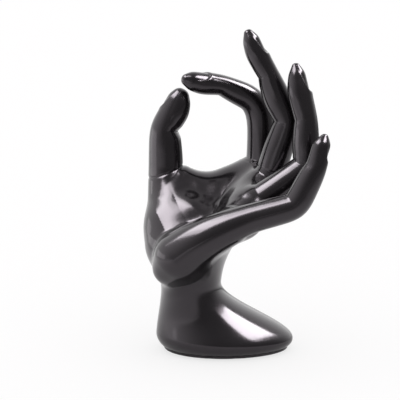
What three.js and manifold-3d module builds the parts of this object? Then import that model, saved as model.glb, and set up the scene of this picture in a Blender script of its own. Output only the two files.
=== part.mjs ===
// Ring display hand: a gloss black left hand, near life size, whose thumb and index finger nearly close an O.
// It stands on a flared foot. The palm, wrist and foot are one moulding, each digit plugs into it by a spigot, and
// a ballast slug, a base plate and a felt pad close the foot from below.
// Millimetres and degrees. +X points to the backs of the fingers and the toe of the foot, +Y to the index
// finger's side and +Z up. The origin is on the floor, under the middle of the foot.

import * as THREE from "three";
import { mergeVertices } from "three/addons/utils/BufferGeometryUtils.js";
import Module from "manifold-3d";

const wasm = await Module();
wasm.setup();

const { clamp, lerp, smoothstep, degToRad } = THREE.MathUtils;
const vec = (x, y, z) => new THREE.Vector3(x, y, z);
const ball = (x, y, z, radius) => new THREE.Vector4(x, y, z, radius);

// Foot and wrist.
const FOOT_TOE = 36.3; // reach of the foot from the origin, under the fingers
const FOOT_HEEL = 35; // reach of the foot the other way, under the palm
const FOOT_HALF_DEPTH = 25.5;
const FOOT_EDGE = 8.8; // radius of the foot's rolled lower edge
const EDGE_CUT = 0.85; // share of that roll that stands above the flat underside
const TOE_NARROWING = 0.06; // share of the depth that the toe loses and the heel gains
const FOOT_LIFT = 0.8; // the pad carries the foot's rim this far above the floor
const FLARE_START = 3; // heights between which the foot draws in to the wrist
const FLARE_END = 35.6;
const FLARE_POWER = 1.05; // above 1 the flare hugs the floor along the foot's length
const FLARE_DEPTH_POWER = 2.2; // and across its depth
const WRIST_BACK = -2;
const WRIST_FRONT = -32;
const WRIST_HALF_DEPTH = 19.1;
const WRIST_LENGTH = 19;
const WRIST_BLEND = 12; // fillet between the wrist and the palm
const WRIST_CREASE = 6.2; // that fillet under the heel of the hand
const CREASE_REACH = 21.8; // the fillet tightens over this depth from the middle of the wrist

// Palm, in a frame at the top of the wrist.
const METACARPAL_BLEND = 9;
const CARPAL_RADIUS = 9.5;
const PALM_BASE_NEAR = ball(-10.5, -15.5, -8.5, 8.5); // underside of the heel of the hand
const PALM_BASE_FAR = ball(-3, -14, -2.7, 10.6);
const PALM_FLOOR_LOW = ball(5.9, 0.1, 9.3, 7.4); // floor of the hollow palm
const PALM_FLOOR_HIGH = ball(15.8, 13.9, 19.5, 7.7);
const PALM_PAD_NEAR = ball(26.3, -10, 15.4, 8.9); // pad across the palm below the fingers
const PALM_PAD_FAR = ball(31, 14, 23.9, 8.1);
const THENAR_BLEND = 8;
const THENAR_LOW = ball(-8.5, 3.9, 8.3, 14.1); // muscle at the ball of the thumb
const THENAR_TOP = ball(-0.2, 2.5, 14.9, 10.6);
const WEB_BLEND = 7;
const WEB_THUMB = ball(-5.6, 15.3, 28.6, 9); // web between the thumb and the index finger, from end to end
const WEB_SAG = ball(5, 13.6, 23.3, 8.5);
const WEB_INDEX = ball(33, 25, 32, 8);
const WEB_HEART = ball(-5.5, 8.7, 2.3, 9.9); // the web's muscle, from the wrist up to the sag
const WEB_CROWN = ball(9.7, 14.7, 15.4, 8.9);
const FINGER_BLEND = 2.5; // fillet where a finger leaves the palm
const THUMB_BLEND = 6; // fillet round the ball of the thumb
const HEEL_BLEND = 3; // fillet round the heel of the hand, which the little finger grows from

// Digits, in the palm's frame. A digit's axis comes through its roots and its knuckle, balls with a radius.
// A phalanx then has a length, a lean from upright towards +X and a swing towards +Y. Girths are radii at the
// middle and end of each phalanx. Pads are how far the flesh swells on each phalanx, and creases how deep it
// is folded at each joint. Knees are how much of the corner at each joint is cut off, less than zero where it
// stands out. Roll turns the palm side round the axis. A seam has a distance past the knuckle and a lean and
// swing of its own.
const LITTLE = {
  name: "little_finger",
  roots: [ball(-5.8, -18, -2.2, 12.4), ball(6, -21, 8, 10.6)],
  knuckle: ball(27, -22, 17.2, 7.4),
  phalanges: [[26.4, 73.5, 4], [20.4, 24.3, 8], [15.6, 16, 8]],
  girths: [[6.5, 6.4], [5.8, 5.2], [4.7, 2.3]],
  pads: [0.4, 0.6, 0.8],
  creases: [0.3, 0.3],
  knees: [0, 0],
  roll: -14,
  seam: [2, 73.5, 4],
};
const RING = {
  name: "ring_finger",
  roots: [ball(19, -6, 12, 7.2), ball(26.2, -6.5, 18, 7.5)],
  knuckle: ball(33.5, -7, 24.1, 7.7),
  phalanges: [[29.6, 52, 2], [24.4, -1.5, 5], [24.2, -10.5, 5]],
  girths: [[6.8, 6.7], [6.4, 5.8], [5.5, 2.2]],
  pads: [0.4, 0.7, 1.2],
  creases: [0.4, 0.4],
  knees: [0, 0],
  roll: -12,
  seam: [6, 52, 2],
};
const MIDDLE = {
  name: "middle_finger",
  roots: [ball(27, 8, 16, 7.2), ball(33, 8.5, 23.5, 7.5)],
  knuckle: ball(39, 9, 31, 7.7),
  phalanges: [[32, 17.5, 0], [25.3, -24.5, 0], [23, -24.2, 0]],
  girths: [[6.9, 6.6], [6.4, 5.6], [5.2, 2.4]],
  pads: [0.4, 0.7, 1.3],
  creases: [0.5, 0.5],
  knees: [0, 0],
  roll: -10,
  seam: [5.5, 17.5, 0],
};
const INDEX = {
  name: "index_finger",
  roots: [ball(25, 23, 18, 7.2), ball(30.3, 24, 25.5, 7.5)],
  knuckle: ball(35.6, 25, 33, 7.7),
  phalanges: [[36, 0.5, -2], [23.4, -66, -16], [19.6, -77, -21]],
  girths: [[6.7, 6.6], [6.1, 5.5], [5.3, 3.1]],
  pads: [0.3, 0.7, 1.2],
  creases: [0, 0.3],
  knees: [0.6, 0],
  roll: -8,
  seam: [6, 0.5, -2],
};
const THUMB = {
  name: "thumb",
  roots: [ball(-9, -2, -0.6, 13.5), ball(-9.3, 9.5, 15, 12.8)],
  knuckle: ball(-12.8, 16, 29.2, 9),
  phalanges: [[26.4, -1.5, 0], [18.8, 23.5, 3]],
  girths: [[8.3, 7.7], [7, 4.5]],
  pads: [0.4, 1.3],
  creases: [1.3],
  knees: [-0.3],
  roll: 195,
  seam: [5, -20, 0],
};
const PHALANX_CONTROLS = 3; // control points along each phalanx
const GIRTH_EASE = 0.75; // how much of the change in girth falls within a third of a phalanx's ends
const PALM_SIDE_POWER = 1.5; // above 1 the swell keeps closer to the palm side
const CREASE_WIDTH = 3;
const TIP_PAD_PEAK = 0.6; // where the last phalanx swells most, as a share of its length
const TIP_PAD_END = 0.5; // share of that swell left at its end
// Metacarpals: where each starts at the wrist, how far before its knuckle it ends and its radius there.
const METACARPALS = [
  { digit: INDEX, start: vec(0, 9, -2), setback: 3.5, radius: 8.6 },
  { digit: MIDDLE, start: vec(1, 3, -3), setback: 3.5, radius: 8.8 },
  { digit: RING, start: vec(1, -5, -3), setback: 4.5, radius: 8.4 },
  { digit: LITTLE, start: vec(1, -12, -2), setback: 9, radius: 7 },
];

// Joints between the pieces.
const GLUE_GAP = 0.3;
const ROOM_MARGIN = 1.8; // clearance round a digit where the palm's webs rise past its seam
const SPIGOT_RADIUS = 3.6;
const SPIGOT_LENGTH = 8;
const SPIGOT_DRAFT = 0.4; // the spigot's tip is this much slimmer than its root
const PAD_THICKNESS = 1.6;
const PAD_RIM = 2; // the pad ends this far inside the plate's recess
const PLATE_THICKNESS = 2.4;
const PLATE_RIM = 2.5; // width of the foot's flat underside outside the base plate
const PLATE_LEDGE = 5; // width of the ledge that the plate is glued to
const BALLAST_HEIGHT = 8;

// How finely the forms are cut into facets.
const BODY_FACET = 3.5;
const DIGIT_FACET = 2.4;
const AXIS_STEPS = 5;
const OUTLINE_POINTS = 48;
const SPIGOT_SIDES = 20;
const SURFACE_PULLS = 3;

const WRIST_TOP = FLARE_END + WRIST_LENGTH;
const PALM_ORIGIN = vec((WRIST_BACK + WRIST_FRONT) / 2, 0, WRIST_TOP);
const PLATE_BOTTOM = PAD_THICKNESS + GLUE_GAP;
const PLATE_TOP = PLATE_BOTTOM + PLATE_THICKNESS;
const POCKET_TOP = PLATE_TOP + BALLAST_HEIGHT + 2 * GLUE_GAP;
const DIGITS = [LITTLE, RING, MIDDLE, INDEX, THUMB];

const inPalm = (place) => vec(place.x, place.y, place.z).add(PALM_ORIGIN);

// Fields: functions of a point, negative inside a form, zero on its surface and about its distance outside.

function smoothMin(a, b, blend) {
  const share = clamp(0.5 + (0.5 * (b - a)) / blend, 0, 1);
  return lerp(b, a, share) - blend * share * (1 - share);
}

const blended = (blend, ...fields) => (p) =>
  fields.map((field) => field(p)).reduce((a, b) => smoothMin(a, b, blend));

function bone(start, end, startRadius, endRadius) {
  const line = new THREE.Line3(start, end);
  const nearest = vec(0, 0, 0);
  return (p) => {
    const along = line.closestPointToPointParameter(p, true);
    return line.at(along, nearest).distanceTo(p) - lerp(startRadius, endRadius, along);
  };
}

const boneBetween = (a, b) => bone(inPalm(a), inPalm(b), a.w, b.w);

// The egg-shaped level section of the foot and wrist at a height.
function columnSection(height) {
  const rise = clamp((height - FLARE_START) / (FLARE_END - FLARE_START), 0, 1);
  const wave = (1 + Math.cos(Math.PI * rise)) / 2;
  const flare = wave ** FLARE_POWER;
  const below = clamp(FOOT_LIFT + FOOT_EDGE - height, 0, EDGE_CUT * FOOT_EDGE);
  const tuck = FOOT_EDGE - Math.sqrt(FOOT_EDGE ** 2 - below ** 2);
  const front = lerp(WRIST_FRONT, -FOOT_HEEL, flare) + tuck;
  const back = lerp(WRIST_BACK, FOOT_TOE, flare) - tuck;
  return {
    centre: (front + back) / 2,
    halfLength: (back - front) / 2,
    halfDepth: lerp(WRIST_HALF_DEPTH, FOOT_HALF_DEPTH, wave ** FLARE_DEPTH_POWER) - tuck,
    narrowing: TOE_NARROWING * flare,
  };
}

function column(p) {
  const section = columnSection(p.z);
  const along = (p.x - section.centre) / section.halfLength;
  const halfDepth = section.halfDepth * (1 - section.narrowing * clamp(along, -1, 1));
  const wall = (Math.hypot(along, p.y / halfDepth) - 1) * Math.min(section.halfLength, section.halfDepth);
  return Math.max(wall, p.z - WRIST_TOP, -FOOT_EDGE / 2 - p.z);
}

// The section's outline, drawn in by a margin.
function columnOutline(height, margin) {
  const section = columnSection(height);
  const points = [];
  for (let i = 0; i < OUTLINE_POINTS; i++) {
    const turn = (2 * Math.PI * i) / OUTLINE_POINTS;
    const halfDepth = section.halfDepth * (1 - section.narrowing * Math.cos(turn)) - margin;
    const x = section.centre + (section.halfLength - margin) * Math.cos(turn);
    points.push(new THREE.Vector2(x, halfDepth * Math.sin(turn)));
  }
  return new THREE.Shape(points);
}

function leaning(lean, swing) {
  const a = degToRad(lean);
  const b = degToRad(swing);
  return vec(Math.sin(a) * Math.cos(b), Math.sin(b), Math.cos(a) * Math.cos(b));
}

// Control points of a digit's axis: its roots, its knuckle, then some along each phalanx.
function axisControls({ roots, knuckle, phalanges, girths, knees }) {
  const controls = [...roots, knuckle].map((c) => ball(...inPalm(c).toArray(), c.w));
  phalanges.forEach(([length, lean, swing], i) => {
    const joint = controls.at(-1);
    const along = leaning(lean, swing).multiplyScalar(length / PHALANX_CONTROLS);
    const [middle, end] = girths[i];
    const radii = [lerp(joint.w, middle, GIRTH_EASE), lerp(end, middle, GIRTH_EASE), end];
    radii.forEach((radius, third) => {
      const place = vec(joint.x, joint.y, joint.z).addScaledVector(along, third + 1);
      controls.push(ball(...place.toArray(), radius));
    });
  });
  knees.forEach((knee, i) => {
    const at = roots.length + PHALANX_CONTROLS * (i + 1);
    const chord = controls[at - 1].clone().add(controls[at + 1]).divideScalar(2);
    controls[at].lerp(chord.setW(controls[at].w), knee);
  });
  return controls;
}

// Points of the uniform cubic B-spline that the control points draw, AXIS_STEPS to a span.
function splinePoints(controls) {
  const first = controls[0].clone().multiplyScalar(2).sub(controls[1]);
  const last = controls.at(-1).clone().multiplyScalar(2).sub(controls.at(-2));
  const c = [first, ...controls, last];
  const points = [];
  for (let step = 0; step <= AXIS_STEPS * (controls.length - 1); step++) {
    const span = Math.min(Math.floor(step / AXIS_STEPS), controls.length - 2);
    const t = step / AXIS_STEPS - span;
    const weights = [(1 - t) ** 3, 3 * t ** 3 - 6 * t ** 2 + 4, -3 * t ** 3 + 3 * t ** 2 + 3 * t + 1, t ** 3];
    const point = ball(0, 0, 0, 0);
    weights.forEach((weight, i) => point.addScaledVector(c[span + i], weight / 6));
    points.push(point);
  }
  return points;
}

// How far the palm side swells at a place along the axis, counted in phalanges from the knuckle.
function swell({ phalanges, pads, creases }, along) {
  const last = pads.length - 1;
  const on = clamp(Math.floor(along), 0, last);
  const share = clamp(along - on, 0, 1);
  const fall = lerp(1, TIP_PAD_END, smoothstep(share, TIP_PAD_PEAK, 1));
  const tip = smoothstep(share, 0, TIP_PAD_PEAK) * fall;
  const pad = pads[on] * (on === last ? tip : Math.sin(Math.PI * share) ** 2);
  const folds = creases.map((depth, i) => {
    const away = ((along - 1 - i) * phalanges[i][0]) / CREASE_WIDTH;
    return depth * Math.exp(-(away ** 2));
  });
  return folds.reduce((sum, fold) => sum - fold, pad);
}

function digitField(digit) {
  const controlsBefore = digit.roots.length;
  const points = splinePoints(axisControls(digit));
  const places = points.map((q) => vec(q.x, q.y, q.z));
  const roll = degToRad(digit.roll);
  const side = vec(Math.sin(roll), Math.cos(roll), 0);
  const nearest = vec(0, 0, 0);
  const line = new THREE.Line3();
  return (p) => {
    let best = Infinity;
    let bestAt = 0;
    for (let i = 0; i + 1 < points.length; i++) {
      line.set(places[i], places[i + 1]);
      const share = line.closestPointToPointParameter(p, true);
      const distance = line.at(share, nearest).distanceTo(p) - lerp(points[i].w, points[i + 1].w, share);
      if (distance < best) {
        best = distance;
        bestAt = i + share;
      }
    }
    const i = Math.min(Math.floor(bestAt), points.length - 2);
    const tangent = places[i + 1].clone().sub(places[i]);
    const back = side.clone().cross(tangent).normalize();
    const out = p.clone().sub(places[i].clone().addScaledVector(tangent, bestAt - i));
    const palmward = Math.max(0, -back.dot(out) / Math.max(out.length(), 1e-6));
    const along = (bestAt / AXIS_STEPS - controlsBefore) / PHALANX_CONTROLS;
    return best - swell(digit, along) * palmward ** PALM_SIDE_POWER;
  };
}

// Where a digit's seam lies and the way it faces.
function seamOf({ knuckle, phalanges, seam: [distance, lean, swing] }) {
  const along = leaning(phalanges[0][1], phalanges[0][2]);
  return { normal: leaning(lean, swing), place: inPalm(knuckle).addScaledVector(along, distance) };
}

// A digit's field on the palm's side of its seam, and a little past it so that the seam can be cut clean.
function stub(digit) {
  const field = digitField(digit);
  const { normal, place } = seamOf(digit);
  return (p) => Math.max(field(p), p.clone().sub(place).dot(normal) - BODY_FACET);
}

function metacarpal({ digit, start, setback, radius }) {
  const from = inPalm(start);
  const knuckle = inPalm(digit.knuckle);
  const to = knuckle.addScaledVector(from.clone().sub(knuckle).normalize(), setback);
  return bone(from, to, CARPAL_RADIUS, radius);
}

function castField() {
  const palm = blended(
    METACARPAL_BLEND,
    ...METACARPALS.map(metacarpal),
    boneBetween(PALM_FLOOR_LOW, PALM_FLOOR_HIGH),
    boneBetween(PALM_PAD_NEAR, PALM_PAD_FAR),
    boneBetween(PALM_BASE_NEAR, PALM_BASE_FAR),
  );
  const wristBlend = (p) => lerp(WRIST_BLEND, WRIST_CREASE, smoothstep(-p.y, 0, CREASE_REACH));
  const onWrist = (p) => smoothMin(palm(p), column(p), wristBlend(p));
  const withThenar = blended(THENAR_BLEND, onWrist, boneBetween(THENAR_LOW, THENAR_TOP));
  const web = blended(
    WEB_BLEND,
    boneBetween(WEB_THUMB, WEB_SAG),
    boneBetween(WEB_SAG, WEB_INDEX),
    boneBetween(WEB_HEART, WEB_CROWN),
  );
  const withWeb = blended(WEB_BLEND, withThenar, web);
  const withThumb = blended(THUMB_BLEND, withWeb, stub(THUMB));
  const withHeel = blended(HEEL_BLEND, withThumb, stub(LITTLE));
  return blended(FINGER_BLEND, withHeel, stub(INDEX), stub(MIDDLE), stub(RING));
}

// Solids.

function solidOf(geometry) {
  const bare = geometry.clone();
  for (const name of ["normal", "uv"]) bare.deleteAttribute(name);
  const merged = mergeVertices(bare);
  return new wasm.Manifold(
    new wasm.Mesh({
      numProp: 3,
      vertProperties: merged.attributes.position.array,
      triVerts: new Uint32Array(merged.index.array),
    }),
  );
}

function geometryOf(solid) {
  const { vertProperties, triVerts } = solid.getMesh();
  return new THREE.BufferGeometry()
    .setAttribute("position", new THREE.BufferAttribute(vertProperties, 3))
    .setIndex(new THREE.BufferAttribute(triVerts, 1));
}

// A point pulled along the field's slope onto its surface, by no more than half a facet.
function pulled(field, start, facet) {
  const reach = facet / 20;
  const p = start.clone();
  for (let pull = 0; pull < SURFACE_PULLS; pull++) {
    const slope = vec(0, 0, 0);
    for (let axis = 0; axis < 3; axis++) {
      const step = vec(0, 0, 0).setComponent(axis, reach);
      slope.setComponent(axis, (field(p.clone().add(step)) - field(p.clone().sub(step))) / (2 * reach));
    }
    p.addScaledVector(slope, -field(p) / Math.max(slope.lengthSq(), 0.1));
  }
  return p.sub(start).clampLength(0, facet / 2).add(start);
}

// The closed surface on which a field is zero. Each grid cell that it crosses has one vertex, pulled onto it,
// and each grid edge that it crosses has one quad, between the four cells that share the edge.
function skin(field, box, facet) {
  const size = box.getSize(vec(0, 0, 0)).divideScalar(facet).ceil().addScalar(1);
  const strides = [1, size.x, size.x * size.y];
  const place = (i, j, k) => vec(i, j, k).multiplyScalar(facet).add(box.min);
  const indices = [];
  for (let k = 1; k + 2 < size.z; k++)
    for (let j = 1; j + 2 < size.y; j++)
      for (let i = 1; i + 2 < size.x; i++) indices.push([i, j, k]);
  const values = new Float32Array(size.x * size.y * size.z).fill(facet);
  const at = (i, j, k) => i + j * strides[1] + k * strides[2];
  for (const [i, j, k] of indices) values[at(i, j, k)] = field(place(i, j, k));
  const corners = [0, 1, 2, 3, 4, 5, 6, 7].map((bits) => vec(bits & 1, (bits >> 1) & 1, bits >> 2));
  const vertexOf = new Map();
  const positions = [];
  const vertex = (cell) => {
    if (!vertexOf.has(cell)) {
      const k = Math.floor(cell / strides[2]);
      const j = Math.floor((cell % strides[2]) / strides[1]);
      const i = cell % strides[1];
      const sum = vec(0, 0, 0);
      let crossings = 0;
      for (const corner of corners)
        strides.forEach((stride, axis) => {
          if (corner.getComponent(axis)) return;
          const node = cell + at(...corner.toArray());
          const [near, far] = [values[node], values[node + stride]];
          if (near < 0 === far < 0) return;
          sum.add(corner.clone().setComponent(axis, near / (near - far)));
          crossings += 1;
        });
      const middle = place(i, j, k).addScaledVector(sum, facet / crossings);
      vertexOf.set(cell, positions.length / 3);
      positions.push(...pulled(field, middle, facet).toArray());
    }
    return vertexOf.get(cell);
  };
  const triangles = [];
  for (const [i, j, k] of indices)
    strides.forEach((stride, axis) => {
      const node = at(i, j, k);
      const inside = values[node] < 0;
      if (inside === values[node + stride] < 0) return;
      const [u, v] = [strides[(axis + 1) % 3], strides[(axis + 2) % 3]];
      const ring = [node, node - u, node - u - v, node - v].map(vertex);
      const [a, b, c, d] = inside ? ring : ring.reverse();
      triangles.push(a, b, c, a, c, d);
    });
  return new THREE.BufferGeometry()
    .setAttribute("position", new THREE.Float32BufferAttribute(positions, 3))
    .setIndex(triangles);
}

// A cylinder that stands on a seam and runs along its normal between two heights.
function onSeam({ place, normal }, baseRadius, tipRadius, from, to) {
  const geometry = new THREE.CylinderGeometry(tipRadius, baseRadius, to - from, SPIGOT_SIDES);
  const turn = new THREE.Quaternion().setFromUnitVectors(vec(0, 1, 0), normal);
  geometry.translate(0, (from + to) / 2, 0).applyQuaternion(turn).translate(place.x, place.y, place.z);
  return solidOf(geometry);
}

function extruded(shape, bottom, top) {
  const geometry = new THREE.ExtrudeGeometry(shape, { depth: top - bottom, bevelEnabled: false });
  return solidOf(geometry.translate(0, 0, bottom));
}

function digitSolid(digit) {
  const controls = axisControls(digit);
  const widest = Math.max(...controls.map((c) => c.w)) + Math.max(...digit.pads) + 3 * DIGIT_FACET;
  const reach = digit.phalanges.reduce((sum, [length]) => sum + length, widest);
  const box = new THREE.Box3().setFromPoints(controls.map((c) => vec(c.x, c.y, c.z))).expandByScalar(widest);
  const whole = solidOf(skin(digitField(digit), box, DIGIT_FACET));
  const seam = seamOf(digit);
  const past = onSeam(seam, reach, reach, 0, reach);
  const spigot = onSeam(seam, SPIGOT_RADIUS - SPIGOT_DRAFT, SPIGOT_RADIUS, -SPIGOT_LENGTH, SPIGOT_RADIUS);
  return whole.intersect(past).add(spigot);
}

// What a digit takes from the hand body: the room past its seam and the socket for its spigot.
function digitRoom(digit) {
  const seam = seamOf(digit);
  const radius = digit.knuckle.w + ROOM_MARGIN;
  const past = onSeam(seam, radius, radius, -GLUE_GAP, 4 * BODY_FACET);
  const tip = SPIGOT_RADIUS - SPIGOT_DRAFT + GLUE_GAP;
  const socket = onSeam(seam, tip, SPIGOT_RADIUS + GLUE_GAP, -SPIGOT_LENGTH - GLUE_GAP, GLUE_GAP);
  return past.add(socket);
}

function handBody() {
  const margin = 3 * BODY_FACET;
  const box = new THREE.Box3(
    vec(-FOOT_HEEL, -FOOT_HALF_DEPTH, -FOOT_EDGE / 2),
    vec(FOOT_TOE, FOOT_HALF_DEPTH, WRIST_TOP),
  );
  for (const { roots, knuckle } of DIGITS)
    for (const c of [...roots, knuckle]) {
      box.expandByPoint(inPalm(c).addScalar(c.w + margin));
      box.expandByPoint(inPalm(c).addScalar(-c.w));
    }
  box.expandByScalar(margin);
  const cast = solidOf(skin(castField(), box, BODY_FACET));
  const underFoot = extruded(columnOutline(FLARE_START, -margin), box.min.z, FOOT_LIFT);
  const plateRoom = extruded(columnOutline(FOOT_LIFT, PLATE_RIM), box.min.z, PLATE_TOP + GLUE_GAP);
  const pocket = extruded(columnOutline(FOOT_LIFT, PLATE_RIM + PLATE_LEDGE), box.min.z, POCKET_TOP);
  const rooms = [...DIGITS.map(digitRoom), underFoot, plateRoom, pocket];
  return rooms.reduce((body, room) => body.subtract(room), cast);
}

function ballastSlug() {
  const outline = columnOutline(FOOT_LIFT, PLATE_RIM + PLATE_LEDGE + GLUE_GAP);
  return extruded(outline, PLATE_TOP + GLUE_GAP, POCKET_TOP - GLUE_GAP);
}

const basePlate = () => extruded(columnOutline(FOOT_LIFT, PLATE_RIM + GLUE_GAP), PLATE_BOTTOM, PLATE_TOP);
const feltPad = () => extruded(columnOutline(FOOT_LIFT, PLATE_RIM + PAD_RIM), 0, PAD_THICKNESS);

// Finishes.
const glossBlack = new THREE.MeshStandardMaterial({ color: 0x0d0c0d, roughness: 0.18, metalness: 0 });
const castIron = new THREE.MeshStandardMaterial({ color: 0x3b3a39, roughness: 0.8, metalness: 0.6 });
const mattBlack = new THREE.MeshStandardMaterial({ color: 0x161616, roughness: 0.7, metalness: 0 });
const felt = new THREE.MeshStandardMaterial({ color: 0x1b1a1c, roughness: 1, metalness: 0 });

const hand = new THREE.Group();

function addPiece(name, solid, material) {
  const mesh = new THREE.Mesh(geometryOf(solid), material);
  mesh.name = name;
  hand.add(mesh);
}

addPiece("hand_body", handBody(), glossBlack);
for (const digit of DIGITS) addPiece(digit.name, digitSolid(digit), glossBlack);
addPiece("ballast_slug", ballastSlug(), castIron);
addPiece("base_plate", basePlate(), mattBlack);
addPiece("felt_pad", feltPad(), felt);

export default hand;
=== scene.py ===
"""Gloss black ring display hand on a flared foot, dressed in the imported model's frame.

The hand's skin is a distance field in millimetres: tubes along the digits' axes that flow into the palm,
the wrist and the foot. The palm and foot and the felt are meshed on a grid, evened out and drawn onto their
fields. Each digit is meshed in rings round its axis.
"""
import math
from collections import namedtuple
from functools import partial

import bpy
import numpy as np
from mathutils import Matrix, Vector


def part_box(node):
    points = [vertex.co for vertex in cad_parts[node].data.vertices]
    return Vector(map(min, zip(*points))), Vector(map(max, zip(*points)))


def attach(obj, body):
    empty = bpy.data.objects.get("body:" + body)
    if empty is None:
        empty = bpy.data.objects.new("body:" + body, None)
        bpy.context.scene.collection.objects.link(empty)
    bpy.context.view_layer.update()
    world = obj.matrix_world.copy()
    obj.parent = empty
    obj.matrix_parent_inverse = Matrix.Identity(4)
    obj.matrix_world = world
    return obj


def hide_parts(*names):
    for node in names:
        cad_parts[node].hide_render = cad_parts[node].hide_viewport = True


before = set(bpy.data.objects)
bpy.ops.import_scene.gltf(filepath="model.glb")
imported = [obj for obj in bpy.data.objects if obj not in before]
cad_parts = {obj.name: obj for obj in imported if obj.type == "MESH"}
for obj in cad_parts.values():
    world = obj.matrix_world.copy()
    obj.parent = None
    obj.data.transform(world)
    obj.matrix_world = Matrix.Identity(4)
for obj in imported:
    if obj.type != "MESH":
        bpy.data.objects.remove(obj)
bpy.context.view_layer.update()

MM = 0.001

# Foot and wrist, in millimetres.
FOOT_TOE = 36.3
FOOT_HEEL = 35
FOOT_HALF_DEPTH = 25.5
FOOT_EDGE = 8.8
EDGE_CUT = 0.85
TOE_NARROWING = 0.06
FOOT_LIFT = 0.8
FLARE_START = 3
FLARE_END = 35.6
FLARE_POWER = 1.05
FLARE_DEPTH_POWER = 2.2
WRIST_BACK = -2
WRIST_FRONT = -32
WRIST_HALF_DEPTH = 19.1
WRIST_TOP = FLARE_END + 19
WRIST_BLEND = 12
WRIST_CREASE = 6.2
CREASE_REACH = 21.8
PLATE_RIM = 2.5
PLATE_ROOM = 4.6
PAD_RIM = 2
PAD_THICKNESS = 1.6

# Palm. Balls are a place in the palm's frame, at the top of the wrist, and a radius.
PALM_ORIGIN = np.array([(WRIST_BACK + WRIST_FRONT) / 2, 0, WRIST_TOP])
CARPAL_RADIUS = 9.5
METACARPAL_BLEND = 9
PALM_BASE_NEAR = (-10.5, -15.5, -8.5, 8.5)
PALM_BASE_FAR = (-3, -14, -2.7, 10.6)
PALM_FLOOR_LOW = (5.9, 0.1, 9.3, 7.4)
PALM_FLOOR_HIGH = (15.8, 13.9, 19.5, 7.7)
PALM_PAD_NEAR = (26.3, -10, 15.4, 8.9)
PALM_PAD_FAR = (31, 14, 23.9, 8.1)
THENAR_LOW = (-8.5, 3.9, 8.3, 14.1)
THENAR_TOP = (-0.2, 2.5, 14.9, 10.6)
THENAR_BLEND = 8
WEB_BLEND = 7
WEB_THUMB = (-5.6, 15.3, 28.6, 9)
WEB_SAG = (5, 13.6, 23.3, 8.5)
WEB_INDEX = (33, 25, 32, 8)
WEB_HEART = (-5.5, 8.7, 2.3, 9.9)
WEB_CROWN = (9.7, 14.7, 15.4, 8.9)
FINGER_BLEND = 2.5
THUMB_BLEND = 6
HEEL_BLEND = 3

# Digits: roots and knuckle are balls on the axis. A phalanx has a length, a lean towards +X and a swing
# towards +Y, and girths are radii at its middle and end. Pads swell and creases fold the palm side, folds are
# the fine lines in the creases. Knees: how much of the corner at each joint is cut off. Seam: distance past
# the knuckle, lean, swing and depth of its groove. Metacarpal: start, distance short of the knuckle, radius.
# Nail: length, half width as a share of the girth, turn round the digit, depth of its root.
Digit = namedtuple(
    "Digit", "node roots knuckle phalanges girths pads creases folds knees roll seam metacarpal nail"
)
LITTLE = Digit(
    node="little_finger",
    roots=[(-5.8, -18, -2.2, 12.4), (6, -21, 8, 10.6)],
    knuckle=(26.6, -22.2, 17.5, 7.4),
    phalanges=[(25.4, 74.2, -3), (21.8, 26.5, 3), (14.8, 17, 7.2)],
    girths=[(7.1, 6.8), (6.5, 5.6), (4.1, 1.5)],
    pads=[0.1, 0, 1],
    creases=[0.3, 0.3],
    folds=[0, 0],
    knees=[0.05, 0.25],
    roll=-14,
    seam=(2, 74.2, -3, 0),
    metacarpal=((1, -12, -2), 9, 7),
    nail=(11.8, 0.8, -14, 0.7),
)
RING = Digit(
    node="ring_finger",
    roots=[(19, -6, 12, 7.2), (26.2, -6.5, 18, 7.5)],
    knuckle=(34.2, -6, 24.1, 7.7),
    phalanges=[(28.5, 53.9, 1), (22.5, -1.5, 5), (27.2, -9.9, 7.6)],
    girths=[(6.7, 6.8), (6.5, 6), (5.4, 1.5)],
    pads=[0.1, 0.4, 1.5],
    creases=[0.4, 0.4],
    folds=[0.2, 0.1],
    knees=[0, 0],
    roll=-12,
    seam=(6, 53.9, 1, 0),
    metacarpal=((1, -5, -3), 4.5, 8.4),
    nail=(14.6, 0.78, -14, 1),
)
MIDDLE = Digit(
    node="middle_finger",
    roots=[(27, 8, 16, 7.2), (33, 8.5, 23.5, 7.5)],
    knuckle=(39, 9, 31, 7.7),
    phalanges=[(32, 17.5, -1), (25.4, -24.5, 0), (22.7, -24.2, 0)],
    girths=[(7.2, 6.9), (6.6, 5.6), (4.9, 1.8)],
    pads=[0.5, 0.9, 1.4],
    creases=[0.5, 0.5],
    folds=[0.15, 0.2],
    knees=[0, 0],
    roll=-10,
    seam=(5.5, 17.5, 0, 0.2),
    metacarpal=((1, 3, -3), 3.5, 8.8),
    nail=(14.4, 0.75, -14, 1),
)
INDEX = Digit(
    node="index_finger",
    roots=[(25, 23, 18, 7.2), (30.3, 24, 25.5, 7.5)],
    knuckle=(35.6, 24.5, 32.8, 7.7),
    phalanges=[(36, 0.5, -1.2), (23.2, -66, -14.3), (19.5, -77, -21)],
    girths=[(6.6, 6.8), (6, 5.4), (5.3, 2.4)],
    pads=[0.3, 0.7, 1.2],
    creases=[0, 0.3],
    folds=[0, 0.1],
    knees=[0.6, 0],
    roll=-8,
    seam=(6, 0.5, -2, 0.2),
    metacarpal=((0, 9, -2), 3.5, 8.6),
    nail=(13.4, 0.95, -19, 0.5),
)
THUMB = Digit(
    node="thumb",
    roots=[(-9, -2, -0.6, 13.5), (-9.3, 9.5, 15, 12.8)],
    knuckle=(-12.8, 16, 29.2, 9),
    phalanges=[(26.3, -1.5, 3.4), (19.2, 23.5, -0.7)],
    girths=[(8.4, 7.8), (6.5, 3.6)],
    pads=[0.4, 2],
    creases=[1.3],
    folds=[0.4],
    knees=[0.1],
    roll=195,
    seam=(5, -20, 0, 0.3),
    metacarpal=None,
    nail=(13, 0.85, -15, 0.5),
)
DIGITS = [LITTLE, RING, MIDDLE, INDEX, THUMB]
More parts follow.
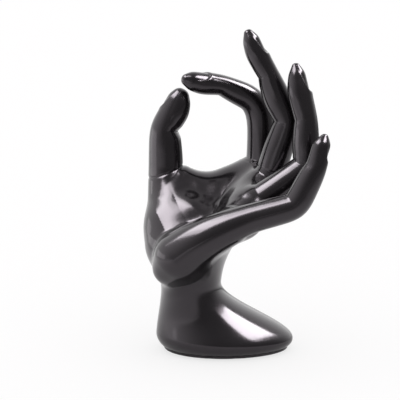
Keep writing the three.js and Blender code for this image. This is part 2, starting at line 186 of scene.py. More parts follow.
BLENDS = [
    (THUMB, THUMB_BLEND),
    (LITTLE, HEEL_BLEND),
    (INDEX, FINGER_BLEND),
    (MIDDLE, FINGER_BLEND),
    (RING, FINGER_BLEND),
]
CREASE_WIDTH = 3
FOLD_WIDTH = 0.45
PALM_SIDE_POWER = 1.5
GIRTH_EASE = 0.25
TIP_EASE = 0.06
TIP_ROUNDING = 0.4
TIP_ROUNDING_AT = 4.5
TIP_ROUNDING_WIDTH = 3
TIP_PAD_PEAK = 0.6
TIP_PAD_END = 0.6
NAIL_EDGE = 0.3
NAIL_SQUARENESS = 3
NAIL_SINK_START = -0.5
NAIL_SINK_END = 0.9
NAIL_RIM = 0.06
CUTICLE_HEIGHT = 0.1
CUTICLE_WIDTH = 0.7

# Seams between the pieces.
SPIGOT_TAPER = 0.12
SPIGOT_LENGTH = 3
SPIGOT_GAP = 0.03
SKIN_LAP = 0.3
SEAM_FADE = 8
SHARP_BLEND = 0.05
GROOVE_WIDTH = 0.6
GROOVE_NEAR = 1
GROOVE_FAR = 3
EDGE_ROUND = 0.6

# Meshing.
BODY_GRID = 1.2
FELT_GRID = 0.9
RING_STEP = 0.45
RING_POINTS = 80
AXIS_SAMPLES = 44
LENGTH_SAMPLES = 50
NEAR = 6
GRID_MARGIN = 3
AXIS_ROUNDS = 5
RADIUS_ROUNDS = 6
SEAM_ROUNDS = 6
EVENING_ROUNDS = 3
DRAWING_ROUNDS = 2
LEAST_SLOPE = 0.3
SLOPE_REACH = 0.1


def smooth_min(a, b, blend):
    share = np.clip(0.5 + 0.5 * (b - a) / blend, 0, 1)
    return b + (a - b) * share - blend * share * (1 - share)


def smooth_max(a, b, blend):
    return -smooth_min(-a, -b, blend)


def smooth_step(low, high, x):
    t = np.clip((x - low) / (high - low), 0, 1)
    return t * t * (3 - 2 * t)


def lerp(a, b, t):
    return a + (b - a) * t


def dot(a, b):
    return np.einsum("ij,ij->i", a, b)


def unit(a):
    return a / np.maximum(np.linalg.norm(a, axis=-1, keepdims=True), 1e-9)


def in_palm(ball):
    return np.array(ball[:3], float) + PALM_ORIGIN


def leaning(lean, swing):
    a, b = math.radians(lean), math.radians(swing)
    return np.array([math.sin(a) * math.cos(b), math.sin(b), math.cos(a) * math.cos(b)])


# Fields: arrays of points in, their distances out, negative inside.


def bone(p, start, end, start_radius, end_radius):
    run = end - start
    along = np.clip((p - start) @ run / (run @ run), 0, 1)
    away = p - start - along[:, None] * run
    return np.sqrt(dot(away, away)) - lerp(start_radius, end_radius, along)


def bone_between(p, a, b):
    return bone(p, in_palm(a), in_palm(b), a[3], b[3])


def column_section(height):
    """The egg-shaped level section of the foot and wrist: centre, half length, half depth and narrowing."""
    rise = np.clip((height - FLARE_START) / (FLARE_END - FLARE_START), 0, 1)
    wave = (1 + np.cos(np.pi * rise)) / 2
    flare = wave ** FLARE_POWER
    below = np.clip(FOOT_LIFT + FOOT_EDGE - height, 0, EDGE_CUT * FOOT_EDGE)
    tuck = FOOT_EDGE - np.sqrt(FOOT_EDGE ** 2 - below ** 2)
    front = lerp(WRIST_FRONT, -FOOT_HEEL, flare) + tuck
    back = lerp(WRIST_BACK, FOOT_TOE, flare) - tuck
    half_depth = lerp(WRIST_HALF_DEPTH, FOOT_HALF_DEPTH, wave ** FLARE_DEPTH_POWER) - tuck
    return (front + back) / 2, (back - front) / 2, half_depth, TOE_NARROWING * flare


def egg(p, section, margin):
    centre, half_length, half_depth, narrowing = section
    along = (p[:, 0] - centre) / (half_length - margin)
    depth = half_depth * (1 - narrowing * np.clip(along, -1, 1)) - margin
    return (np.hypot(along, p[:, 1] / depth) - 1) * np.minimum(half_length, half_depth)


def column(p):
    wall = egg(p, column_section(p[:, 2]), 0)
    return np.maximum(wall, p[:, 2] - WRIST_TOP)


class Axis:
    """A digit's axis: the cubic B-spline drawn by its control balls. Joint i lies at parameter 2 + 3 i."""

    def __init__(self, digit):
        self.digit = digit
        balls = [np.append(in_palm(b), b[3]) for b in [*digit.roots, digit.knuckle]]
        last = len(digit.phalanges) - 1
        for i, (length, lean, swing) in enumerate(digit.phalanges):
            joint = balls[-1]
            middle, end = digit.girths[i]
            step = np.append(leaning(lean, swing) * length / 3, 0)
            ease = TIP_EASE if i == last else GIRTH_EASE
            radii = [lerp(middle, joint[3], GIRTH_EASE), lerp(middle, end, ease), end]
            for third, radius in enumerate(radii, 1):
                balls.append(np.append((joint + step * third)[:3], radius))
        for joint, knee in enumerate(digit.knees, 1):
            at = len(digit.roots) + 3 * joint
            chord = (balls[at - 1] + balls[at + 1]) / 2
            balls[at][:3] = lerp(balls[at], chord, knee)[:3]
        self.tip_radius = balls[-1][3]
        self.end = len(balls) - 1
        self.controls = np.array([2 * balls[0] - balls[1], *balls, 2 * balls[-1] - balls[-2]])
        self.samples = np.linspace(0, self.end, AXIS_SAMPLES)
        self.points = self.at(self.samples)
        roll = math.radians(digit.roll)
        self.side = np.array([math.sin(roll), math.cos(roll), 0])

    def at(self, t, order=0):
        span = np.clip(t.astype(int), 0, self.end - 1)
        u = (t - span)[:, None]
        weights = (
            ((1 - u) ** 3, 3 * u ** 3 - 6 * u ** 2 + 4, -3 * u ** 3 + 3 * u ** 2 + 3 * u + 1, u ** 3),
            (-3 * (1 - u) ** 2, 9 * u ** 2 - 12 * u, -9 * u ** 2 + 6 * u + 3, 3 * u ** 2),
            (6 * (1 - u), 18 * u - 12, -18 * u + 6, 6 * u),
        )[order]
        return sum(w * self.controls[span + i] for i, w in enumerate(weights)) / 6

    def coarse(self, p):
        """The nearest of the axis's samples to each point, and the distance to the tube there."""
        best = np.full(len(p), np.inf)
        t = np.zeros(len(p))
        for sample, ball in zip(self.samples, self.points):
            away = p - ball[:3]
            distance = np.sqrt(dot(away, away)) - ball[3]
            closer = distance < best
            best[closer] = distance[closer]
            t[closer] = sample
        return t, best

    def nearest(self, p, t):
        """Which of the balls along the axis each point is nearest to, worked out from a first guess."""
        for _ in range(AXIS_ROUNDS):
            ball, way, bend = (self.at(t, order) for order in range(3))
            back = ball[:, :3] - p
            speed = dot(way[:, :3], way[:, :3])
            pull = dot(back, way[:, :3]) - np.sqrt(dot(back, back)) * way[:, 3]
            t = t - pull / (speed + np.maximum(dot(back, bend[:, :3]), -speed / 2))
            t = np.clip(t, 0, self.end)
        return t


AXES = {digit.node: Axis(digit) for digit in DIGITS}


def swell(digit, along):
    """How far the palm side stands out at a place along the axis, counted in phalanges from the knuckle."""
    last = len(digit.pads) - 1
    on = np.clip(np.floor(along).astype(int), 0, last)
    share = np.clip(along - on, 0, 1)
    fall = lerp(1, TIP_PAD_END, smooth_step(TIP_PAD_PEAK, 1, share))
    tip = smooth_step(0, TIP_PAD_PEAK, share) * fall
    pad = np.array(digit.pads)[on] * np.where(on == last, tip, np.sin(np.pi * share) ** 2)
    for joint, depth in enumerate(digit.creases):
        away = (along - 1 - joint) * digit.phalanges[joint][0]
        pad -= depth * np.exp(-(away / CREASE_WIDTH) ** 2)
    return pad


def fine_folds(digit, along):
    """The sharp lines in the creases."""
    lines = np.zeros(len(along))
    for joint, depth in enumerate(digit.folds):
        away = (along - 1 - joint) * digit.phalanges[joint][0]
        lines += depth * np.exp(-(away / FOLD_WIDTH) ** 2)
    return lines


def nail_relief(axis, from_tip, across):
    """A nail let into the back of the tip, lowest at its root, with a cuticle round the root and sides."""
    length, share, _, depth = axis.digit.nail
    half_width = share * axis.digit.girths[-1][0]
    u = (from_tip - length / 2) / (length / 2)
    v = across / half_width
    rim = (np.abs(u) ** NAIL_SQUARENESS + np.abs(v) ** NAIL_SQUARENESS) ** (1 / NAIL_SQUARENESS)
    edge = (rim - 1) * half_width
    plate = smooth_step(NAIL_EDGE, -NAIL_EDGE, edge)
    rootward = lerp(NAIL_RIM, 1, smooth_step(NAIL_SINK_START, NAIL_SINK_END, u))
    cuticle = np.exp(-((edge - CUTICLE_WIDTH) / CUTICLE_WIDTH) ** 2)
    return rootward * (CUTICLE_HEIGHT * cuticle - depth * plate)


def digit_field(axis, p):
    digit = axis.digit
    t, distance = axis.coarse(p)
    near = distance < NEAR
    q = p[near]
    t = axis.nearest(q, t[near])
    ball = axis.at(t)
    out = q - ball[:, :3]
    length = np.sqrt(dot(out, out))
    tangent = unit(axis.at(t, 1)[:, :3])
    back = unit(np.cross(np.broadcast_to(axis.side, tangent.shape), tangent))
    backward = dot(out, back)
    palmward = np.clip(-backward / np.maximum(length, 1e-6), 0, 1)
    along = (t - len(digit.roots)) / 3
    relief = (swell(digit, along) - fine_folds(digit, along)) * palmward ** PALM_SIDE_POWER
    from_tip = (axis.end - t) * digit.phalanges[-1][0] / 3 - dot(out, tangent) + axis.tip_radius
    sideways = dot(out, np.cross(tangent, back))
    turn = np.arctan2(sideways, backward) - math.radians(digit.nail[2])
    across = ball[:, 3] * np.arctan2(np.sin(turn), np.cos(turn))
    relief += nail_relief(axis, from_tip, across)
    relief += TIP_ROUNDING * np.exp(-((from_tip - TIP_ROUNDING_AT) / TIP_ROUNDING_WIDTH) ** 2)
    distance[near] = length - ball[:, 3] - relief
    return distance


def past_seam(digit, p):
    """How far each point lies beyond a digit's seam."""
    distance, lean, swing, _ = digit.seam
    place = in_palm(digit.knuckle) + leaning(*digit.phalanges[0][1:]) * distance
    return (p - place) @ leaning(lean, swing)


def metacarpal(digit, p):
    start, setback, radius = digit.metacarpal
    start = in_palm(start)
    knuckle = in_palm(digit.knuckle)
    end = knuckle + unit(start - knuckle) * setback
    return bone(p, start, end, CARPAL_RADIUS, radius)


def web(p):
    rim = smooth_min(bone_between(p, WEB_THUMB, WEB_SAG), bone_between(p, WEB_SAG, WEB_INDEX), WEB_BLEND)
    return smooth_min(rim, bone_between(p, WEB_HEART, WEB_CROWN), WEB_BLEND)


def groove(digit, beyond):
    return digit.seam[3] * np.exp(-(beyond / GROOVE_WIDTH) ** 2)


def digit_skin(digit, p):
    """A digit past its seam, with its share of the seam's groove."""
    return digit_field(AXES[digit.node], p) + groove(digit, past_seam(digit, p))


def palm(p):
    body = metacarpal(INDEX, p)
    for digit in (MIDDLE, RING, LITTLE):
        body = smooth_min(body, metacarpal(digit, p), METACARPAL_BLEND)
    body = smooth_min(body, bone_between(p, PALM_FLOOR_LOW, PALM_FLOOR_HIGH), METACARPAL_BLEND)
    body = smooth_min(body, bone_between(p, PALM_PAD_NEAR, PALM_PAD_FAR), METACARPAL_BLEND)
    body = smooth_min(body, bone_between(p, PALM_BASE_NEAR, PALM_BASE_FAR), METACARPAL_BLEND)
    nearness = smooth_step(0, -CREASE_REACH, p[:, 1])
    body = smooth_min(body, column(p), lerp(WRIST_BLEND, WRIST_CREASE, nearness))
    body = smooth_min(body, bone_between(p, THENAR_LOW, THENAR_TOP), THENAR_BLEND)
    return smooth_min(body, web(p), WEB_BLEND)


def hand_field(p, taper=SPIGOT_TAPER):
    """The palm, wrist and foot, into which the digits' bases flow up to the seams, and tapered spigots."""
    body = palm(p)
    tubes = {node: digit_field(axis, p) for node, axis in AXES.items()}
    past = {digit.node: past_seam(digit, p) for digit in DIGITS}
    for node in AXES:
        body = np.maximum(body, -np.maximum(tubes[node] + SKIN_LAP, -past[node]))
    grooves = np.zeros(len(p))
    for digit, blend in BLENDS:
        tube, beyond = tubes[digit.node], past[digit.node]
        spigot = np.maximum(tube + taper * np.maximum(beyond, 0), beyond - SPIGOT_LENGTH)
        body = smooth_min(body, spigot, SHARP_BLEND + blend * smooth_step(0, -SEAM_FADE, beyond))
        grooves += groove(digit, beyond) * smooth_step(GROOVE_FAR, GROOVE_NEAR, np.abs(tube))
    body = smooth_max(body + grooves, FOOT_LIFT - p[:, 2], EDGE_ROUND)
    plate = egg(p, column_section(np.float64(FOOT_LIFT)), PLATE_RIM)
    plate_room = np.maximum(plate, p[:, 2] - PLATE_ROOM)
    return smooth_max(body, -plate_room, EDGE_ROUND)


def hand_flow(p):
    """The hand's field with spigots as thick as the digits. Its slope runs smoothly past the seams."""
    return hand_field(p, 0)


def felt_field(p):
    outline = egg(p, column_section(np.float64(FOOT_LIFT)), PLATE_RIM + PAD_RIM)
    middle = PAD_THICKNESS / 2
    return smooth_max(outline, np.abs(p[:, 2] - middle) - middle, EDGE_ROUND)


# Meshes.


def net(field, low, high, step):
    """Points and quads of the surface on which a field is zero: a point in each grid cell that it crosses
    and a quad round each grid edge that it crosses."""
    axes = [np.arange(a, b + step, step) for a, b in zip(low, high)]
    grid = np.stack(np.meshgrid(*axes, indexing="ij"), -1)
    shape = grid.shape[:3]
    value = field(grid.reshape(-1, 3)).reshape(shape)
    index = np.arange(value.size).reshape(shape)
    strides = [shape[1] * shape[2], shape[2], 1]
    sums = np.zeros((value.size, 3))
    counts = np.zeros(value.size)
    rings = []
    flat_value, flat_grid = value.ravel(), grid.reshape(-1, 3)
    inner = index[1:-2, 1:-2, 1:-2].ravel()
    for axis in range(3):
        near, far = inner, inner + strides[axis]
        crossing = (flat_value[near] < 0) != (flat_value[far] < 0)
        near, far = near[crossing], far[crossing]
        share = flat_value[near] / (flat_value[near] - flat_value[far])
        points = flat_grid[near] + (flat_grid[far] - flat_grid[near]) * share[:, None]
        u, v = strides[(axis + 1) % 3], strides[(axis + 2) % 3]
        ring = np.stack([near, near - u, near - u - v, near - v], 1)
        for cell in ring.T:
            np.add.at(sums, cell, points)
            np.add.at(counts, cell, 1)
        inside = flat_value[near] < 0
        rings.append(np.where(inside[:, None], ring, ring[:, ::-1]))
    used = np.flatnonzero(counts)
    number = np.zeros(value.size, int)
    number[used] = np.arange(len(used))
    return sums[used] / counts[used, None], number[np.vstack(rings)]


def subdivided(points, quads):
    edges = np.sort(np.stack([quads, np.roll(quads, -1, 1)], -1).reshape(-1, 2), 1)
    pairs, index = np.unique(edges, axis=0, return_inverse=True)
    middles = index.reshape(-1, 4) + len(points)
    centres = np.repeat(np.arange(len(quads))[:, None], 4, 1) + len(points) + len(pairs)
    finer = np.stack([quads, middles, centres, np.roll(middles, 1, 1)], -1).reshape(-1, 4)
    return np.vstack([points, points[pairs].mean(1), points[quads].mean(1)]), finer


def point_normals(points, quads):
    a, b, c, d = (points[quads[:, i]] for i in range(4))
    faces = np.cross(c - a, d - b)
    normals = np.zeros_like(points)
    for i in range(4):
        np.add.at(normals, quads[:, i], faces)
    return unit(normals)


def evened(points, quads):
    """Each point moved halfway to the middle of its neighbours."""
    sums = np.zeros_like(points)
    counts = np.zeros(len(points))
    for i in range(4):
        for j in (i + 1, i + 3):
            np.add.at(sums, quads[:, i], points[quads[:, j % 4]])
            np.add.at(counts, quads[:, i], 1)
    return (points + sums / counts[:, None]) / 2


def drawn_on(field, points, quads, step):
    """Each point moved along its normal onto the field's surface."""
    normals = point_normals(points, quads)
    for _ in range(DRAWING_ROUNDS):
        here = field(points)
        slope = (field(points + normals * step / 8) - here) / (step / 8)
        move = np.clip(-here / np.maximum(slope, LEAST_SLOPE), -step / 2, step / 2)
        points = points + normals * move[:, None]
    return points


def slopes(field, points):
    """The field's own normals."""
    offsets = np.eye(3) * SLOPE_REACH
    return unit(np.stack([field(points + o) - field(points - o) for o in offsets], 1))


def netted(field, low, high, step):
    """Points and quads of a field's surface between two corners, evened out."""
    points, quads = net(field, low, high, step)
    rounds = 2
    for finer in range(rounds):
        if finer:
            points, quads = subdivided(points, quads)
            step /= 2
        for _ in range(EVENING_ROUNDS):
            points = drawn_on(field, evened(points, quads), quads, step)
    return drawn_on(field, points, quads, step / 2), quads


def add_piece(name, points, faces, smooth=True):
    """An object from points in millimetres. Smooth: whether each face is shaded smooth, or all of them."""
    mesh = bpy.data.meshes.new(name)
    mesh.from_pydata((points * MM).tolist(), [], faces)
    mesh.polygons.foreach_set("use_smooth", np.broadcast_to(smooth, len(faces)))
    piece = bpy.data.objects.new(name, mesh)
    bpy.context.scene.collection.objects.link(piece)
    return piece


def radius_out(field, start, way, length):
    """How far from each start the field's surface lies along its way, worked out from a first length."""
    for _ in range(RADIUS_ROUNDS):
        length = length - field(start + way * length[:, None])
    return length


def ringed(digit):
    """A digit in rings round its axis: the hollow that fits its spigot, then its skin from seam to tip."""
    axis = AXES[digit.node]
    field = partial(digit_skin, digit)
    turn = np.linspace(0, 2 * np.pi, RING_POINTS, endpoint=False)[:, None]
    facing = leaning(*digit.seam[1:3])

    def spokes(t):
        chord = axis.at(np.minimum(t + 1, axis.end)) - axis.at(np.maximum(t - 1, 0))
        tangent = unit(chord[:, :3])
        back = unit(np.cross(np.broadcast_to(axis.side, tangent.shape), tangent))
        return np.cos(turn) * back + np.sin(turn) * np.cross(tangent, back), tangent

    def ring(t):
        ball = axis.at(t)
        way, _ = spokes(t)
        return ball[:, :3] + way * radius_out(field, ball[:, :3], way, ball[:, 3])[:, None]

    def place_past(distance):
        t = np.full(RING_POINTS, len(digit.roots) + 3 * digit.seam[0] / digit.phalanges[0][0])
        for _ in range(SEAM_ROUNDS):
            t = t - (past_seam(digit, ring(t)) - distance) / (axis.at(t, 1)[:, :3] @ facing)
        return t

    start = place_past(SPIGOT_GAP / SPIGOT_TAPER)
    depth = SPIGOT_LENGTH + SKIN_LAP
    bottom = place_past(depth)
    hollow = ring(bottom) - spokes(bottom)[0] * (SPIGOT_TAPER * depth - SPIGOT_GAP)
    rings = [hollow]
    course = axis.at(np.linspace(start.mean(), axis.end, LENGTH_SAMPLES))[:, :3]
    length = np.linalg.norm(np.diff(course, axis=0), axis=1).sum()
    count = int(length / (RING_STEP * 1))
    rings += [ring(lerp(start, axis.end, share)) for share in np.linspace(0, 1, count)]
    end = np.full(RING_POINTS, float(axis.end))
    tip = axis.at(end)[:, :3]
    way, tangent = spokes(end)
    capped = int(axis.tip_radius * np.pi / 2 / RING_STEP)
    for rise in np.linspace(0, np.pi / 2, capped + 1)[1:-1]:
        up = way * math.cos(rise) + tangent * math.sin(rise)
        rings.append(tip + up * radius_out(field, tip, up, np.full(RING_POINTS, axis.tip_radius))[:, None])
    reach = radius_out(field, tip[:1], tangent[:1], np.array([axis.tip_radius]))
    pole = tip[:1] + tangent[:1] * reach[:, None]
    points = np.vstack([*rings, hollow.mean(0), pole])
    return points, ring_faces(len(rings), len(points) - 2, len(points) - 1)


def ring_faces(rings, low_pole, high_pole):
    here = np.arange(RING_POINTS)
    following = np.roll(here, -1)
    faces = []
    for row in range(rings - 1):
        low, high = row * RING_POINTS, (row + 1) * RING_POINTS
        faces += np.stack([low + here, low + following, high + following, high + here], 1).tolist()
    last = (rings - 1) * RING_POINTS
    faces += [[low_pole, b, a] for a, b in zip(here.tolist(), following.tolist())]
    faces += [[high_pole, last + a, last + b] for a, b in zip(here.tolist(), following.tolist())]
    return faces


# Materials. A noise's values lie mostly between these two.
NOISE_LOW = 0.3
NOISE_HIGH = 0.7


class Nodes:
    """A short way to write a node tree."""

    def __init__(self, tree):
        self.tree = tree
        tree.nodes.clear()

    def add(self, kind, settings=None, **inputs):
        node = self.tree.nodes.new(kind)
        for name, value in (settings or {}).items():
            setattr(node, name, value)
        for name, value in inputs.items():
            self.set(node, name.replace("_", " "), value)
        return node

    def set(self, node, name, value):
        socket = node.inputs[int(name)] if name.isdigit() else node.inputs[name]
        if isinstance(value, bpy.types.NodeSocket):
            self.tree.links.new(value, socket)
        else:
            socket.default_value = value


def material(name):
    made = bpy.data.materials.new(name)
    made.use_nodes = True
    return made, Nodes(made.node_tree)


def noise(nodes, place, scale, detail=2.0, roughness=0.5):
    return nodes.add(
        "ShaderNodeTexNoise", Vector=place, Scale=scale, Detail=detail, Roughness=roughness
    ).outputs["Fac"]


def ranged(nodes, value, kind, low, high, first, last):
    node = nodes.add("ShaderNodeMapRange", {"interpolation_type": kind}, Value=value)
    for name, number in (("From Min", low), ("From Max", high), ("To Min", first), ("To Max", last)):
        node.inputs[name].default_value = number
    return node.outputs["Result"]


def spread(nodes, value, low, high):
    """The middle range of a noise, stretched between two numbers."""
    return ranged(nodes, value, "LINEAR", NOISE_LOW, NOISE_HIGH, low, high)


def between(nodes, share, dark, light):
    mix = nodes.add("ShaderNodeMix", {"data_type": "RGBA"})
    mix.inputs[6].default_value = (*dark, 1)
    mix.inputs[7].default_value = (*light, 1)
    nodes.tree.links.new(share, mix.inputs[0])
    return mix.outputs[2]


def bump(nodes, height, strength, distance, below=None):
    node = nodes.add("ShaderNodeBump", Strength=strength, Distance=distance, Height=height)
    if below is not None:
        nodes.tree.links.new(below, node.inputs["Normal"])
    return node.outputs["Normal"]


def surface(nodes, **inputs):
    shader = nodes.add("ShaderNodeBsdfPrincipled", None, **inputs)
    nodes.add("ShaderNodeOutputMaterial", Surface=shader.outputs["BSDF"])
    return shader


def lacquer():
    """Black gloss: faint mould ripple, fine orange peel, and patches dulled by handling."""
    made, nodes = material("gloss_black_lacquer")
    place = nodes.add("ShaderNodeTexCoord").outputs["Object"]
    tint = spread(nodes, noise(nodes, place, 30, 3), 0, 1)
    ripple = bump(nodes, noise(nodes, place, 90, 1), 0.12, 0.001)
    peel = bump(nodes, noise(nodes, place, 1100, 2), 0.05, 0.0002, ripple)
    surface(
        nodes,
        Base_Color=between(nodes, tint, (0.0035, 0.003, 0.0035), (0.0075, 0.0065, 0.0072)),
        Roughness=spread(nodes, noise(nodes, place, 70, 4, 0.6), 0.14, 0.2),
        Normal=peel,
        IOR=1.5,
        # Painted tint: the faint purple of the reflections stands in for the colour of the light.
        Specular_Tint=(1, 0.9, 0.99, 1),
        Coat_Weight=0.15,
        Coat_Roughness=0.05,
    )
    return made


def cast_iron():
    made, nodes = material("cast_iron")
    place = nodes.add("ShaderNodeTexCoord").outputs["Object"]
    grain = noise(nodes, place, 700, 5, 0.7)
    surface(
        nodes,
        Base_Color=between(nodes, spread(nodes, grain, 0, 1), (0.03, 0.028, 0.027), (0.075, 0.07, 0.066)),
        Roughness=spread(nodes, grain, 0.6, 0.85),
        Metallic=0.6,
        Normal=bump(nodes, grain, 0.5, 0.0004),
    )
    return made


def plate_board():
    made, nodes = material("matt_black_board")
    place = nodes.add("ShaderNodeTexCoord").outputs["Object"]
    grain = noise(nodes, place, 900, 4, 0.6)
    surface(
        nodes,
        Base_Color=between(nodes, spread(nodes, grain, 0, 1), (0.006, 0.006, 0.006), (0.013, 0.013, 0.013)),
        Roughness=spread(nodes, grain, 0.55, 0.75),
        Normal=bump(nodes, grain, 0.25, 0.0003),
    )
    return made


def felt_cloth():
    made, nodes = material("black_felt")
    place = nodes.add("ShaderNodeTexCoord").outputs["Object"]
    fibre = noise(nodes, place, 1800, 6, 0.75)
    surface(
        nodes,
        Base_Color=between(nodes, spread(nodes, fibre, 0, 1), (0.006, 0.006, 0.007), (0.028, 0.027, 0.03)),
        Roughness=1.0,
        Sheen_Weight=0.4,
        Sheen_Roughness=0.5,
        Normal=bump(nodes, fibre, 0.8, 0.0006),
    )
    return made


# Pieces.


def dressed(piece, node, finish):
    piece.data.materials.append(finish)
    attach(piece, "root")
    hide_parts(node)


def corners(node, margin):
    low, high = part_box(node)
    return np.array(low) / MM - margin, np.array(high) / MM + margin


def make_hand():
    finish = lacquer()
    low, high = corners("hand_body", GRID_MARGIN * BODY_GRID)
    points, quads = netted(hand_field, low, high, BODY_GRID)
    body = add_piece("palm_and_foot_skin", points, quads.tolist())
    body.data.normals_split_custom_set_from_vertices(slopes(hand_flow, points).tolist())
    dressed(body, "hand_body", finish)
    for digit in DIGITS:
        points, faces = ringed(digit)
        # The hollow's wall and floor stay flat: the first band of faces and the fan of its pole.
        smooth = np.arange(len(faces)) >= RING_POINTS
        smooth[-2 * RING_POINTS:-RING_POINTS] = False
        piece = add_piece(digit.node + "_skin", points, faces, smooth)
        normals = slopes(partial(digit_skin, digit), points)
        piece.data.normals_split_custom_set_from_vertices(normals.tolist())
        dressed(piece, digit.node, finish)


def make_base():
    low, high = corners("felt_pad", GRID_MARGIN * FELT_GRID)
    points, quads = netted(felt_field, low, high, FELT_GRID)
    felt = add_piece("felt_pad_cloth", points, quads.tolist())
    dressed(felt, "felt_pad", felt_cloth())
    low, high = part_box("felt_pad")
    for node, finish in (("base_plate", plate_board()), ("ballast_slug", cast_iron())):
        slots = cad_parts[node].data.materials
        slots.clear()
        slots.append(finish)


# Stage, light and camera.
CAMERA_TARGET = Vector((-12.5, 0, 77.2)) * MM
CAMERA_DISTANCE = 0.8
CAMERA_ELEVATION = 12
IMAGE_WIDTH = 400
PIXELS_PER_METRE = 2000
SENSOR = 36
LIGHT_TARGET = Vector((0, 0, 0.08))

# Lamps: name, azimuth, elevation, width, height, radiance and distance, in degrees and metres. The three top
# panels share a middle, and stand at different distances so that their light adds up in the gloss.
SOFTBOXES = [
    ("side_softbox", 99, 51, 1.06, 0.4, 22, 1.2),
    ("top_softbox_edge", 247, 59, 1.2, 0.78, 1.5, 1.16),
    ("top_softbox", 247, 59, 0.98, 0.68, 8, 1.2),
    ("top_softbox_core", 247, 59, 0.84, 0.34, 4, 1.24),
    ("left_card", 274, 1, 0.6, 0.16, 1.2, 0.58),
]
# The room that the gloss shows: an even level, and glows with azimuth, elevation, half width and level.
ROOM_LEVEL = 0.25
GLOWS = [(274, 14, 45, 1.3), (15, 18, 45, 1.3), (0, 90, 47, 0.25)]

# Floor: a pale painted pool of light round the foot that dims outwards, and a painted glow on a stretch to
# the left. The camera sees neither.
FLOOR_RADIUS = 12
FLOOR_SIDES = 64
FLOOR_COLOUR = (0.94, 0.92, 0.93, 1)
FLOOR_GLOW = 1.03
FLOOR_GLOW_SHARE = 0.7
PAINTED_POOL_START = 0.1
PAINTED_POOL_END = 0.52
PAINTED_POOL_COLOUR = (0.94, 0.93, 0.935)
PAINTED_POOL_DIM_COLOUR = (0.27, 0.27, 0.27)
PAINTED_GLOW_FULL_X = -0.3
PAINTED_GLOW_END_X = -0.04
PAINTED_GLOW_LEVEL = 1
PAINTED_GLOW_LEAST = 0.05


def towards(azimuth, elevation):
    """A direction: azimuth 0 is +Y, away from the camera, and 90 is +X."""
    a, e = math.radians(azimuth), math.radians(elevation)
    return Vector((math.sin(a) * math.cos(e), math.cos(a) * math.cos(e), math.sin(e)))


def softbox(name, azimuth, elevation, width, height, radiance, distance):
    """A lamp that shows as a bright panel in the gloss. The world gives the even light."""
    data = bpy.data.lights.new(name, "AREA")
    data.shape = "RECTANGLE"
    data.size, data.size_y = width, height
    data.energy = radiance * math.pi * width * height
    lamp = bpy.data.objects.new(name, data)
    way = towards(azimuth, elevation)
    lamp.location = LIGHT_TARGET + way * distance
    lamp.rotation_mode = "QUATERNION"
    lamp.rotation_quaternion = way.to_track_quat("Z", "Y")
    lamp.visible_camera = False
    lamp.visible_diffuse = False
    bpy.context.scene.collection.objects.link(lamp)


def lobe(nodes, way, azimuth, elevation, width, level, below):
    """Adds a soft glow in a direction, half as strong at width degrees from its middle."""
    facing = nodes.add("ShaderNodeVectorMath", {"operation": "DOT_PRODUCT"})
    nodes.tree.links.new(way, facing.inputs[0])
    facing.inputs[1].default_value = towards(azimuth, elevation)
    front = nodes.add("ShaderNodeMath", {"operation": "MAXIMUM"})
    nodes.tree.links.new(facing.outputs["Value"], front.inputs[0])
    front.inputs[1].default_value = 0
    glow = nodes.add("ShaderNodeMath", {"operation": "POWER"})
    nodes.tree.links.new(front.outputs[0], glow.inputs[0])
    glow.inputs[1].default_value = math.log(0.5) / math.log(math.cos(math.radians(width)))
    total = nodes.add("ShaderNodeMath", {"operation": "MULTIPLY_ADD"})
    nodes.tree.links.new(glow.outputs[0], total.inputs[0])
    total.inputs[1].default_value = level
    nodes.set(total, "2", below)
    return total.outputs[0]


def make_light():
    for panel in SOFTBOXES:
        softbox(*panel)
    world = bpy.data.worlds.new("studio")
    world.use_nodes = True
    bpy.context.scene.world = world
    nodes = Nodes(world.node_tree)
    way = nodes.add("ShaderNodeTexCoord").outputs["Generated"]
    room = ROOM_LEVEL
    for glow in GLOWS:
        room = lobe(nodes, way, *glow, room)
    glossy = nodes.add("ShaderNodeLightPath").outputs["Is Glossy Ray"]
    strength = nodes.add("ShaderNodeMix")
    nodes.tree.links.new(glossy, strength.inputs[0])
    strength.inputs[2].default_value = 1
    nodes.tree.links.new(room, strength.inputs[3])
    back = nodes.add("ShaderNodeBackground", Color=(1, 1, 1, 1), Strength=strength.outputs[0])
    nodes.add("ShaderNodeOutputWorld", Surface=back.outputs["Background"])


def eased(nodes, value, low, high, first, last):
    """A smooth change from a first number to a last one, between two values."""
    return ranged(nodes, value, "SMOOTHSTEP", low, high, first, last)


def mixed(nodes, share, first, second):
    mix = nodes.add("ShaderNodeMixShader")
    nodes.set(mix, "0", share)
    nodes.tree.links.new(first.outputs[0], mix.inputs[1])
    nodes.tree.links.new(second.outputs[0], mix.inputs[2])
    return mix


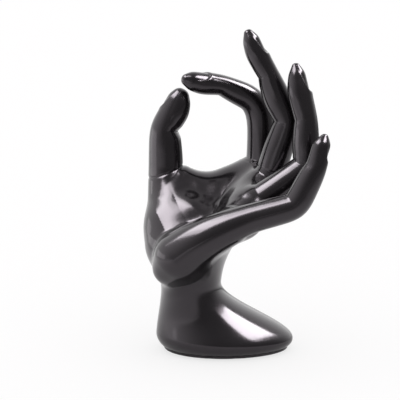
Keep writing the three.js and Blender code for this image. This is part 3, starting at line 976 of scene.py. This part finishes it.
def make_floor():
    mesh = bpy.data.meshes.new("floor")
    ring = [towards(-360 * i / FLOOR_SIDES, 0) * FLOOR_RADIUS for i in range(FLOOR_SIDES)]
    mesh.from_pydata(ring, [], [list(range(FLOOR_SIDES))])
    floor = bpy.data.objects.new("floor", mesh)
    bpy.context.scene.collection.objects.link(floor)
    made, nodes = material("white_floor")
    place = nodes.add("ShaderNodeTexCoord").outputs["Object"]
    out = nodes.add("ShaderNodeVectorMath", {"operation": "LENGTH"})
    nodes.tree.links.new(place, out.inputs[0])
    # Painted light: for every ray but the camera's, the floor's colour is pale round the foot and dims
    # outwards, a painted pool of light.
    painted_pool = eased(nodes, out.outputs["Value"], PAINTED_POOL_START, PAINTED_POOL_END, 0, 1)
    painted_shade = between(nodes, painted_pool, PAINTED_POOL_COLOUR, PAINTED_POOL_DIM_COLOUR)
    matt = nodes.add("ShaderNodeBsdfDiffuse", Color=painted_shade)
    # Painted glow: the floor gives off light on a stretch to the left, though it is no lamp. Only rays other
    # than the camera's see it.
    sideways = nodes.add("ShaderNodeSeparateXYZ", Vector=place).outputs["X"]
    strength = eased(nodes, sideways, PAINTED_GLOW_FULL_X, PAINTED_GLOW_END_X, PAINTED_GLOW_LEVEL, PAINTED_GLOW_LEAST)
    painted_glow = nodes.add("ShaderNodeEmission", Color=(1, 1, 1, 1), Strength=strength)
    dim = nodes.add("ShaderNodeAddShader")
    nodes.tree.links.new(matt.outputs[0], dim.inputs[0])
    nodes.tree.links.new(painted_glow.outputs[0], dim.inputs[1])
    pale = nodes.add("ShaderNodeBsdfDiffuse", Color=FLOOR_COLOUR)
    glow = nodes.add("ShaderNodeEmission", Color=(1, 1, 1, 1), Strength=FLOOR_GLOW)
    shown = mixed(nodes, FLOOR_GLOW_SHARE, pale, glow)
    seen = nodes.add("ShaderNodeLightPath").outputs["Is Camera Ray"]
    nodes.add("ShaderNodeOutputMaterial", Surface=mixed(nodes, seen, dim, shown).outputs[0])
    mesh.materials.append(made)


def make_camera():
    data = bpy.data.cameras.new("camera")
    data.sensor_width = SENSOR
    data.lens = SENSOR * PIXELS_PER_METRE * CAMERA_DISTANCE / IMAGE_WIDTH
    camera = bpy.data.objects.new("camera", data)
    back = towards(180, CAMERA_ELEVATION)
    camera.location = CAMERA_TARGET + back * CAMERA_DISTANCE
    camera.rotation_mode = "QUATERNION"
    camera.rotation_quaternion = back.to_track_quat("Z", "Y")
    bpy.context.scene.collection.objects.link(camera)
    bpy.context.scene.camera = camera


bpy.context.scene.view_settings.view_transform = "Standard"
make_camera()
make_floor()
make_light()
make_hand()
make_base()
